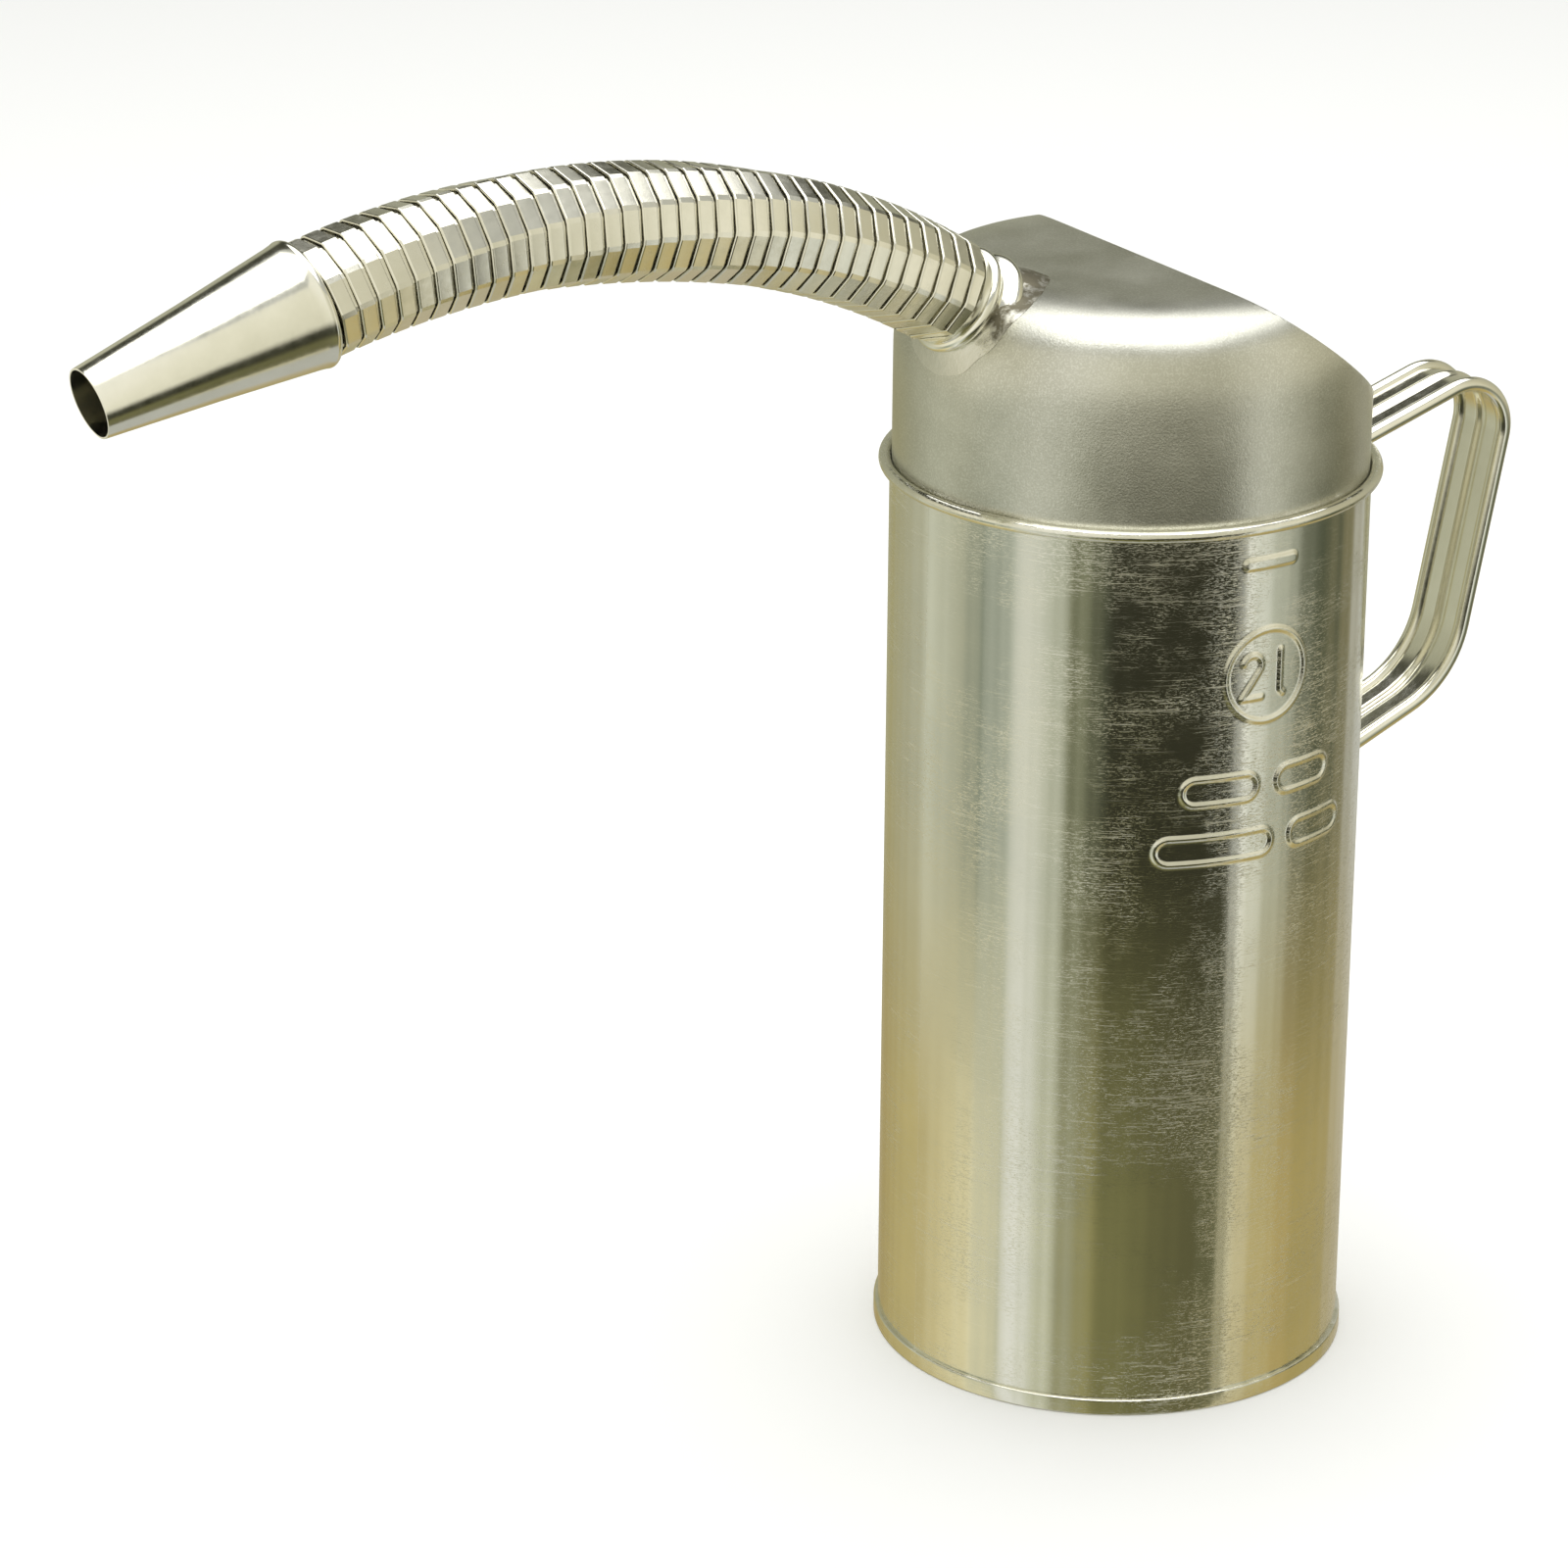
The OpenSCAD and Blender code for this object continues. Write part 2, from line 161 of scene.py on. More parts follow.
def arc(centre, radius, start, end, steps):
    """Points of an arc in degrees, both ends included."""
    angles = [math.radians(start + (end - start) * k / steps) for k in range(steps + 1)]
    return [(centre[0] + radius * math.cos(a), centre[1] + radius * math.sin(a)) for a in angles]


def ride_on(piece, body, slot, *nodes):
    """The piece rides on the body and replaces the CAD nodes, if any. The slot is not used."""
    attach(piece, body)
    if nodes:
        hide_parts(*nodes)
    return piece


# ---- materials ----

class Nodes:
    """A short way to build a node tree: add a node, set its sockets, link by name."""

    def __init__(self, name):
        self.material = bpy.data.materials.new(name)
        self.material.use_nodes = True
        self.tree = self.material.node_tree
        self.shader = self.tree.nodes["Principled BSDF"]

    def add(self, kind, values=None, **settings):
        node = self.tree.nodes.new(kind)
        for key, value in settings.items():
            setattr(node, key, value)
        for key, value in (values or {}).items():
            self.put(node.inputs[key], value)
        return node

    def put(self, socket, value):
        if isinstance(value, bpy.types.NodeSocket):
            self.tree.links.new(value, socket)
        else:
            socket.default_value = value

    def shade(self, **values):
        for key, value in values.items():
            self.put(self.shader.inputs[key.replace("_", " ")], value)

    def place(self):
        """Object coordinates in metres."""
        return self.add("ShaderNodeTexCoord").outputs["Object"]

    def split(self):
        """X, Y and Z in metres."""
        return self.add("ShaderNodeSeparateXYZ", {0: self.place()}).outputs

    def around(self, wide, tall):
        """Coordinates wrapped round the Z axis: angle times wide, and height times tall."""
        x, y, z = self.split()
        return self.add("ShaderNodeCombineXYZ", {
            0: self.math("MULTIPLY", self.math("ARCTAN2", y, x), wide),
            1: self.math("MULTIPLY", z, tall)}).outputs[0]

    def noise(self, vector, scale, detail=3.0, roughness=0.55, distortion=0.0):
        return self.add("ShaderNodeTexNoise", {
            "Vector": vector, "Scale": scale, "Detail": detail,
            "Roughness": roughness, "Distortion": distortion}).outputs["Fac"]

    def math(self, operation, a, b=0.0):
        return self.add("ShaderNodeMath", {0: a, 1: b}, operation=operation).outputs[0]

    def ramp(self, factor, span=(0.0, 1.0), to=(0.0, 1.0)):
        """Maps one range of a factor onto another, clamped."""
        return self.add("ShaderNodeMapRange", {
            "Value": factor, "From Min": span[0], "From Max": span[1],
            "To Min": to[0], "To Max": to[1]}).outputs[0]

    def mix(self, factor, a, b):
        """A colour between a and b. A Mix node's colour sockets are inputs 6 and 7, and output 2."""
        return self.add("ShaderNodeMix", {0: factor, 6: a, 7: b}, data_type="RGBA").outputs[2]

    def bump(self, height, distance, strength=1.0, normal=None):
        values = {"Height": height, "Distance": distance, "Strength": strength}
        if normal is not None:
            values["Normal"] = normal
        return self.add("ShaderNodeBump", values).outputs[0]


def rgb(red, green, blue):
    return (red, green, blue, 1.0)


# Colours of the bare metals, and of the floor
TIN_PLAIN, TIN_PALE, TIN_SCORED = rgb(0.80, 0.79, 0.70), rgb(0.87, 0.85, 0.74), rgb(0.93, 0.92, 0.85)
SATIN_DARK, SATIN_PALE, SATIN_GLINT = rgb(0.58, 0.575, 0.50), rgb(0.68, 0.675, 0.60), rgb(0.90, 0.90, 0.83)
HOSE_DARK, HOSE_PALE = rgb(0.86, 0.84, 0.73), rgb(0.94, 0.92, 0.82)
STRIP_DARK, STRIP_PALE = rgb(0.86, 0.845, 0.74), rgb(0.94, 0.925, 0.83)
SOLDER_BARE, SOLDER_STAIN = rgb(0.76, 0.75, 0.68), rgb(0.17, 0.155, 0.11)
FLOOR_PALE = rgb(0.96, 0.96, 0.96)

# The part of a noise that a clouded look uses
CLOUDS = (0.35, 0.7)
MIDDLE = (0.3, 0.7)
# The heights between which the solder turns from bare to stained
STAIN_HEIGHTS = (0.256, 0.266)


def tinplate_material():
    """Bright tinned sheet: mirror-like, slightly wavy, with rubbed patches and fine scratches."""
    m = Nodes("tinplate")
    wrap = m.around(BODY_RADIUS * MM, 1.0)
    waves = m.noise(m.around(0.4, 0.05), 9, detail=2)
    streaks = m.noise(m.around(0.6, 30), 55, detail=4, roughness=0.7)
    scratches = m.noise(m.around(1.2, 90), 40, detail=5, roughness=0.75, distortion=0.4)
    scores = m.noise(m.around(0.15, 60), 30, detail=3, roughness=0.6, distortion=1.2)
    patches = m.noise(wrap, 38, detail=5, roughness=0.6)
    rubbed = m.ramp(m.noise(wrap, 22, detail=4, roughness=0.65), span=(0.42, 0.62), to=(0.1, 1))
    marks = m.math("MAXIMUM", m.ramp(scratches, span=(0.54, 0.66)), m.ramp(scores, span=(0.6, 0.64)))
    worn = m.math("MULTIPLY", marks, rubbed)
    clean = m.mix(m.ramp(patches, span=CLOUDS), TIN_PLAIN, TIN_PALE)
    cloudy_gloss = m.ramp(patches, span=(0.3, 0.75), to=(0.07, 0.12))
    wavy = m.bump(waves, 0.001)
    grained = m.bump(streaks, 0.000012, 0.6, wavy)
    m.shade(Metallic=1.0, Base_Color=m.mix(worn, clean, TIN_SCORED),
            Roughness=m.math("ADD", cloudy_gloss, m.math("MULTIPLY", worn, 0.3)),
            Normal=m.bump(worn, 0.00003, 0.8, grained))
    return m.material


def satin_material():
    """The drawn cover: satin, with a fine grain pressed into it and faint cloudy patches."""
    m = Nodes("satin cover")
    grain = m.noise(m.place(), 2100, detail=2, roughness=0.65)
    speckle = m.noise(m.place(), 2300, detail=1, roughness=0.5)
    mottle = m.noise(m.place(), 60, detail=4, roughness=0.6)
    cloud = m.mix(m.ramp(mottle, span=CLOUDS), SATIN_DARK, SATIN_PALE)
    glints = m.ramp(speckle, span=(0.45, 0.75), to=(0, 0.5))
    m.shade(Metallic=1.0, Base_Color=m.mix(glints, cloud, SATIN_GLINT),
            Roughness=m.ramp(mottle, span=MIDDLE, to=(0.28, 0.35)), Normal=m.bump(grain, 0.00006, 0.8))
    return m.material


def bright_material(name, dark, pale, gloss):
    """Bright tinned strip with a warm tint, drawn lines and cloudy patches."""
    m = Nodes(name)
    drawn = m.noise(m.place(), 420, detail=4, roughness=0.65)
    patches = m.noise(m.place(), 70, detail=4, roughness=0.6)
    m.shade(Metallic=1.0, Base_Color=m.mix(m.ramp(patches, span=CLOUDS), dark, pale),
            Roughness=m.ramp(drawn, span=MIDDLE, to=gloss), Normal=m.bump(drawn, 0.00003, 0.5))
    return m.material


def solder_material():
    """Dull soft solder, stained dark by flux on the side next to the cover's top."""
    m = Nodes("solder")
    lumps = m.noise(m.place(), 300, detail=5, roughness=0.6)
    stains = m.noise(m.place(), 160, detail=5, roughness=0.7)
    upper = m.ramp(m.split()[2], span=STAIN_HEIGHTS, to=(-0.14, 0.16))
    stained = m.ramp(m.math("ADD", stains, upper), span=(0.48, 0.66))
    m.shade(Metallic=1.0, Base_Color=m.mix(stained, SOLDER_BARE, SOLDER_STAIN),
            Roughness=m.ramp(stained, to=(0.26, 0.5)), Normal=m.bump(lumps, 0.00035, 0.6))
    return m.material


def floor_material():
    m = Nodes("pale floor")
    m.shade(Base_Color=FLOOR_PALE, Roughness=0.6)
    return m.material


# What stands round the can in the studio, as seen in its metal: degrees round from -Y toward +X,
# then the colour near the table, the colour above that, and the colour at the height of the spout.
STUDIO = [
    (-178, (0.42, 0.34, 0.15), (0.40, 0.37, 0.20), (0.36, 0.36, 0.27)),
    (-154, (0.53, 0.45, 0.21), (0.45, 0.45, 0.34), (0.40, 0.40, 0.30)),
    (-133, (0.55, 0.47, 0.24), (0.62, 0.64, 0.54), (0.55, 0.54, 0.42)),
    (-116, (0.71, 0.64, 0.39), (0.45, 0.46, 0.36), (0.80, 0.77, 0.62)),
    (-102, (0.80, 0.75, 0.52), (0.27, 0.30, 0.24), (0.92, 0.90, 0.78)),
    (-90, (0.58, 0.58, 0.44), (0.50, 0.53, 0.46), (0.80, 0.78, 0.64)),
    (-78, (0.87, 0.88, 0.86), (0.74, 0.75, 0.68), (0.90, 0.88, 0.78)),
    (-66, (0.60, 0.61, 0.47), (0.53, 0.55, 0.46), (0.95, 0.94, 0.86)),
    (-55, (0.36, 0.36, 0.24), (0.22, 0.23, 0.15), (0.92, 0.90, 0.80)),
    (-48, (0.31, 0.29, 0.13), (0.07, 0.075, 0.05), (0.85, 0.83, 0.70)),
    (-34, (0.19, 0.185, 0.08), (0.035, 0.035, 0.022), (0.75, 0.73, 0.60)),
    (2, (0.12, 0.115, 0.055), (0.035, 0.035, 0.022), (0.62, 0.60, 0.48)),
    (15, (0.14, 0.14, 0.075), (0.045, 0.045, 0.03), (0.70, 0.68, 0.55)),
    (18, (0.64, 0.60, 0.42), (0.90, 0.91, 0.86), (0.80, 0.78, 0.66)),
    (27, (0.64, 0.58, 0.38), (0.78, 0.80, 0.74), (0.88, 0.86, 0.74)),
    (38, (0.52, 0.44, 0.21), (0.48, 0.50, 0.42), (0.85, 0.82, 0.68)),
    (48, (0.48, 0.38, 0.16), (0.18, 0.19, 0.14), (0.70, 0.67, 0.52)),
    (66, (0.43, 0.35, 0.14), (0.09, 0.10, 0.065), (0.55, 0.52, 0.38)),
    (88, (0.43, 0.36, 0.17), (0.24, 0.22, 0.13), (0.50, 0.48, 0.36)),
    (112, (0.52, 0.47, 0.34), (0.60, 0.60, 0.55), (0.42, 0.41, 0.31)),
    (140, (0.50, 0.46, 0.35), (0.45, 0.45, 0.38), (0.34, 0.34, 0.25)),
    (178, (0.42, 0.34, 0.15), (0.40, 0.37, 0.20), (0.36, 0.36, 0.27)),
]
SURROUND_RADIUS = 0.34
SURROUND_HEIGHT = 1.04
# Heights between which the studio's low colours turn into the middle ones, and those into the high
LOW_TO_MIDDLE = (-0.075, 0.03)
MIDDLE_TO_HIGH = (0.13, 0.2)
# The dark crown above and behind the can: its heights, how far back it sets in, and its colour
CROWN_HEIGHTS = (0.375, 0.41)
CROWN_BEHIND = (0.0, 0.12)
CROWN_COLOUR = rgb(0.05, 0.05, 0.035)


def surround_material():
    """Glowing bands for the surround: three ramps round it, mixed by height, dark at the back's top."""
    m = Nodes("surround")
    x, y, z = m.split()
    turned = m.math("ARCTAN2", x, m.math("MULTIPLY", y, -1.0))
    share = m.ramp(turned, span=(-math.pi, math.pi))
    looks = []
    for choice in (1, 2, 3):
        node = m.add("ShaderNodeValToRGB", {"Fac": share})
        stops = node.color_ramp.elements
        while len(stops) < len(STUDIO):
            stops.new(0.5)
        for stop, band in zip(stops, STUDIO):
            stop.position = band[0] / 360 + 0.5
            stop.color = rgb(*band[choice])
        looks.append(node.outputs[0])
    low, middle, high = looks
    walls = m.mix(m.ramp(z, span=LOW_TO_MIDDLE), low, middle)
    walls = m.mix(m.ramp(z, span=MIDDLE_TO_HIGH), walls, high)
    crown = m.math("MULTIPLY", m.ramp(z, span=CROWN_HEIGHTS), m.ramp(y, span=CROWN_BEHIND))
    glow = m.add("ShaderNodeEmission", {"Color": m.mix(crown, walls, CROWN_COLOUR), "Strength": 1.0})
    m.tree.links.new(glow.outputs[0], m.tree.nodes["Material Output"].inputs["Surface"])
    m.material.cycles.emission_sampling = "NONE"
    return m.material


TINPLATE = tinplate_material()
SATIN = satin_material()
HOSE = bright_material("hose strip", HOSE_DARK, HOSE_PALE, gloss=(0.18, 0.28))
STRIP = bright_material("bright strip", STRIP_DARK, STRIP_PALE, gloss=(0.12, 0.2))
SOLDER = solder_material()


# ---- body ----

# The part of the wall that has marks, and the fine mesh step there
MARK_HALF_WIDTH = 30.0
MARK_LOW, MARK_HIGH = 136.0, 216.0
MARK_STEP = 0.32
RELIEF = 0.5
# A raised line fades out at this distance from its middle, and the thicker level bar over a slope
LINE_REACH = 1.05
BAR_REACH = 1.75
BAR_SLOPE = 0.9
FAR = 1e9


def stroke_distance(x, z, path):
    """Distance from points to a line drawn through the path's corners."""
    best = np.full_like(x, FAR)
    for (ax, az), (bx, bz) in zip(path, path[1:]):
        dx, dz = bx - ax, bz - az
        t = np.clip(((x - ax) * dx + (z - az) * dz) / (dx * dx + dz * dz), 0, 1)
        best = np.minimum(best, np.hypot(x - ax - t * dx, z - az - t * dz))
    return best


def stadium(cx, cz, width, height):
    """A slot's outline round a centre."""
    half = height / 2
    reach = width / 2 - half
    right = arc((cx + reach, cz), half, -90, 90, 12)
    left = arc((cx - reach, cz), half, 90, 270, 12)
    return right + left + right[:1]


# The marks' lines, in millimetres across from the middle and up from the floor
LEVEL_BAR = [(-6.0, 210.6), (6.0, 210.6)]
RING = arc((0, 183.5), 11.0, 0, 360, 60)
TWO = arc((-4.1, 186.3), 2.4, 165, -40, 14) + [(-6.8, 178.4), (-1.5, 178.4)]
LITRE = [(3.6, 189.0), (3.6, 179.4), (4.6, 178.4)]
UPPER_ROW, LOWER_ROW = 157, 142.8
PANEL_HEIGHT = 6.3
LINE_MARKS = [RING, TWO, LITRE,
              stadium(-11, UPPER_ROW, 18.5, PANEL_HEIGHT), stadium(12, UPPER_ROW, 16.5, PANEL_HEIGHT),
              stadium(-11.5, LOWER_ROW, 28.5, PANEL_HEIGHT), stadium(17, LOWER_ROW, 17.5, PANEL_HEIGHT)]


def mark_relief(x, z):
    """How far the embossed marks stand out, at points on the shell's -Y side."""
    lines = np.full_like(x, FAR)
    for path in LINE_MARKS:
        lines = np.minimum(lines, stroke_distance(x, z, path))
    bar = stroke_distance(x, z, LEVEL_BAR)
    height = np.maximum(np.clip(1 - lines / LINE_REACH, 0, 1),
                        np.clip((BAR_REACH - bar) / BAR_SLOPE, 0, 1))
    return RELIEF * height * height * (3 - 2 * height)


def body_shell():
    """The shell and its curled rim in one skin, with the marks raised from the outer wall."""
    wall_foot = SEAM_HEIGHT - 0.5
    wall_rows = [wall_foot, 30.0, 80.0, 120.0]
    wall_rows += list(np.arange(MARK_LOW, MARK_HIGH, MARK_STEP)) + [RIM_HEIGHT - 1.2]
    outer = [(BODY_RADIUS, z, True) for z in wall_rows]
    curl = [(r, z, False) for r, z in arc((RIM_RING, RIM_HEIGHT), RIM_BEAD, -130, 175, 26)]
    inner = [(INNER_RADIUS, z, False) for z in (RIM_HEIGHT - 1.0, 120.0, wall_foot)]
    profile = outer + curl + inner

    reach = math.asin(MARK_HALF_WIDTH / BODY_RADIUS)
    fine = np.arange(-reach, reach, MARK_STEP / BODY_RADIUS)
    coarse = np.linspace(reach, TAU - reach, 160, endpoint=False)
    angles = np.concatenate([fine, coarse])
    across = BODY_RADIUS * np.sin(angles)
    facing = np.cos(angles) > 0

    points = []
    for radius, height, marked in profile:
        row = np.full_like(angles, radius)
        if marked and MARK_LOW <= height <= MARK_HIGH:
            row = row + np.where(facing, mark_relief(across, np.full_like(across, height)), 0)
        points += zip(row * np.sin(angles), -row * np.cos(angles), np.full_like(angles, height))
    faces = ring_faces(len(profile), len(angles), wrap_rows=True)
    piece = new_piece("shell", points, faces, 40)
    piece.data.materials.append(TINPLATE)
    return ride_on(piece, "can", "tinplate", "body_shell")


def bottom_disc():
    """The recessed bottom and the double seam that the can stands on."""
    inner = INNER_RADIUS - SHEET
    inner_bend, outer_bend = 0.6, 0.5
    seam_middle = SEAM_OUTER - outer_bend
    groove = BOTTOM - 0.5
    top = BOTTOM + SHEET
    foot = arc((inner + inner_bend, inner_bend), inner_bend, 180, 270, 5)
    foot += arc((seam_middle, outer_bend), outer_bend, 270, 360, 5)
    lip = arc((seam_middle, SEAM_HEIGHT - outer_bend), outer_bend, 0, 90, 5)
    outline = [(NEAR_AXIS, BOTTOM), (30.0, BOTTOM), (31.0, groove), (33.0, groove), (34.0, BOTTOM)]
    outline += [(inner - 1.0, BOTTOM), (inner, BOTTOM - 0.8)] + foot + lip
    outline += [(INNER_RADIUS, SEAM_HEIGHT), (INNER_RADIUS, top), (NEAR_AXIS, top)]
    piece = lathe("bottom", [(height, radius) for radius, height in outline], 160)
    piece.data.materials.append(TINPLATE)
    return ride_on(piece, "can", "tinplate", "bottom_disc")


# ---- cover ----

# The shoulder is a superellipse with this power beside the mouth. It is less, so rounder, at the
# neck, and the change fades over these degrees to each side.
FULL_POWER = 3.5
NECK_LESS = 1.2
NECK_SIDE = 26.0
# The cover's mesh: points round it, and rows up its skirt, over its shoulder and in to its middle
COVER_STEPS = 288
SKIRT_ROWS, SHOULDER_ROWS, TOP_ROWS = 12, 44, 14
# Its wall, and how much its cut edges are softened
COVER_SHEET = 0.45
COVER_EDGE = 0.15
# How far the cover reaches in past the neck's outer radius, and how far along the neck its hole goes
HOLE_MARGIN = 0.2
HOLE_REACH = 40


def shoulder_power(x, y):
    """How square the shoulder is: a round corner where the neck sits, fuller beside the mouth."""
    turn = math.degrees(math.atan2(y, -x))
    return FULL_POWER - NECK_LESS * math.exp(-(turn / NECK_SIDE) ** 2)


def shoulder_point(direction, stop):
    """A point of the shoulder: stop runs from 0 at the skirt to a quarter turn at the flat top."""
    power = shoulder_power(*direction)
    out = math.cos(stop) ** (2 / power) if stop < math.pi / 2 else 0.0
    up = math.sin(stop) ** (2 / power)
    radius = COVER_RADIUS - SHOULDER * (1 - out)
    return (radius * direction[0], radius * direction[1], COVER_TOP - SHOULDER_HEIGHT * (1 - up))


def in_neck(x, y, z):
    """Whether a point of the cover lies inside the neck."""
    along = Vector((-math.cos(NECK_SLOPE), 0, math.sin(NECK_SLOPE)))
    offset = Vector((x + HOSE_START[0], y, z - HOSE_START[1]))
    reach = offset.dot(along)
    return (offset - reach * along).length < NECK_RADIUS - HOLE_MARGIN and abs(reach) < HOLE_REACH


def half_cover():
    """A drawn cap, cut along the slant, with a hole for the neck and a thickened edge."""
    ways = [(math.cos(TAU * k / COVER_STEPS), math.sin(TAU * k / COVER_STEPS)) for k in range(COVER_STEPS)]
    points = []
    for z in np.linspace(SKIRT_FOOT, COVER_TOP - SHOULDER_HEIGHT, SKIRT_ROWS)[:-1]:
        points += [(COVER_RADIUS * x, COVER_RADIUS * y, z) for x, y in ways]
    for k in range(SHOULDER_ROWS + 1):
        stop = math.pi / 2 * k / SHOULDER_ROWS
        points += [shoulder_point(way, stop) for way in ways]
    for radius in np.linspace(COVER_RADIUS - SHOULDER, NEAR_AXIS, TOP_ROWS)[1:]:
        points += [(radius * x, radius * y, COVER_TOP) for x, y in ways]
    faces = [f for f in ring_faces(len(points) // COVER_STEPS, COVER_STEPS)
             if not all(in_neck(*points[i]) for i in f)]
    piece = new_piece("cover", points, faces)
    shell = bmesh.new()
    shell.from_mesh(piece.data)
    normal = Vector((math.sin(CUT_SLOPE), 0, math.cos(CUT_SLOPE)))
    bmesh.ops.bisect_plane(shell, geom=shell.verts[:] + shell.edges[:] + shell.faces[:],
                           plane_co=Vector((CUT_START, 0, COVER_TOP)) * MM, plane_no=normal,
                           clear_outer=True)
    loose = [v for v in shell.verts if not v.link_faces]
    bmesh.ops.delete(shell, geom=loose, context="VERTS")
    shell.to_mesh(piece.data)
    shell.free()
    solid = piece.modifiers.new("sheet", "SOLIDIFY")
    solid.thickness = COVER_SHEET * MM
    solid.offset = -1
    soften = piece.modifiers.new("edge", "BEVEL")
    soften.width = COVER_EDGE * MM
    soften.segments = 2
    soften.limit_method = "ANGLE"
    soften.angle_limit = math.radians(50)
    piece.data.materials.append(SATIN)
    return ride_on(piece, "can", "satin_cover", "half_cover")


# ---- spout ----

def spout_frame(start, slope):
    """Places pieces on the spout's line: local X points out along it, local Z is its upper side."""
    along = Vector((-math.cos(slope), 0, math.sin(slope)))
    upper = Vector((math.sin(slope), 0, math.cos(slope)))
    place = Matrix((along, Vector((0, -1, 0)), upper)).transposed().to_4x4()
    place.translation = Vector((-start[0], 0, start[1]))
    return place


def turn_frames():
    """One frame for each turn of the hose, and one for the nozzle."""
    frames = []
    start, slope = HOSE_START, HOSE_SLOPE
    for _ in range(TURN_COUNT):
        frames.append(spout_frame(start, slope))
        start = (start[0] + TURN_PITCH * math.cos(slope), start[1] + TURN_PITCH * math.sin(slope))
        slope -= TURN_BEND
    frames.append(spout_frame(start, slope + TURN_BEND))
    return frames


BAND_FROM = TURN_GAP / 2
BAND_WIDTH = TURN_PITCH - TURN_GAP
# One winding's section: distance from the band's start, and height over the flats.
BAND_SECTION = [
    (0.0, -0.38), (0.05, -0.17), (0.18, -0.04), (0.4, 0.0),
    (BAND_WIDTH - 0.7, 0.0), (BAND_WIDTH - 0.42, 0.03), (BAND_WIDTH - 0.16, -0.06),
    (BAND_WIDTH - 0.03, -0.22), (BAND_WIDTH, -0.38)]
# Its underside, and the tongue that reaches under the band before it.
UNDER_SECTION = [
    (BAND_WIDTH - 0.1, -0.42), (1.0, -0.42), (0.95, -1.15), (-1.85, -1.2), (-1.85, -0.85), (-0.02, -0.8)]
# Half the angle that eases a corner between two flats
CORNER = math.radians(2.6)
# The second winding's tongue stops this far from the neck's end.
NECK_CLEARANCE = 0.9
# Where the windings' ends meet: underneath, and a little to the side away from the marks.
SEAM = math.radians(-100)
# Half the slit between one winding's end and the next one's start, so that they don't rub.
SEAM_SLIT = math.radians(0.8)
# A winding that is cut off stops where its band would be narrower than this.
THINNEST_BAND = 0.25


def flats_radius(angle):
    """Radius of the ten-sided section at an angle, with its corners just eased."""
    step = TAU / SIDES
    off = (angle + step / 2) % step - step / 2
    apothem = HOSE_RADIUS * math.cos(step / 2)
    return apothem / math.cos(min(abs(off), step / 2 - CORNER))


def winding(name, place, roll, lowest=-math.inf, highest=math.inf):
    """One helical winding of the strip, cut off where it would pass lowest or highest."""
    section = BAND_SECTION + UNDER_SECTION
    step = TAU / SIDES
    marks = sorted(k * step + side * (step / 2 - CORNER) for k in range(-1, SIDES + 2) for side in (-1, 1))
    first, last = SEAM + SEAM_SLIT, SEAM + TAU - SEAM_SLIT
    stops = [first] + [m + roll for m in marks if first < m + roll < last] + [last]
    points = []
    rows = 0
    for angle in stops:
        start = BAND_FROM + TURN_PITCH * ((angle - SEAM) / TAU - 0.5)
        spots = [min(max(start + along, lowest), highest) for along, _ in section]
        band = spots[:len(BAND_SECTION)]
        if max(band) - min(band) < THINNEST_BAND:
            continue
        rows += 1
        flats = flats_radius(angle - roll)
        for x, (_, height) in zip(spots, section):
            radius = flats + height
            points.append(place @ Vector((x, radius * math.cos(angle), radius * math.sin(angle))))
    piece = new_piece(name, points, capped_faces(rows, len(section)), 16)
    piece.data.materials.append(HOSE)
    return piece


def turn_roll(turns_before):
    """How far the flats have twisted round after that many turns."""
    return FIRST_ROLL - turns_before * TURN_TWIST + HALF_SIDE


def hose(frames):
    """All the windings, with the short ends that close the helix at the neck and in the nozzle."""
    for i in range(1, TURN_COUNT + 1):
        body = "can" if i == 1 else f"turn_{i:02d}"
        limits = {}
        if i == 1:
            limits["lowest"] = BAND_FROM
        if i == 2:
            limits["lowest"] = BAND_FROM - TURN_PITCH + NECK_CLEARANCE
        if i == TURN_COUNT:
            limits["highest"] = TURN_PITCH - BAND_FROM
        piece = winding(f"winding_{i:02d}", frames[i - 1], turn_roll(i - 1), **limits)
        ride_on(piece, body, "hose_strip", f"hose_turn_{i:02d}")
    before = frames[0] @ Matrix.Translation(Vector((-TURN_PITCH, 0, 0)))
    start = winding("winding_start", before, turn_roll(0), lowest=TURN_PITCH + BAND_FROM)
    ride_on(start, "can", "hose_strip")
    end = winding("winding_end", frames[-1], turn_roll(TURN_COUNT), highest=-BAND_FROM)
    ride_on(end, LAST_BODY, "hose_strip")


TUBE_STEPS = 128
# Radius of the nozzle's inner edge, which sits inside the hose's bore
NOZZLE_EDGE = 10.4


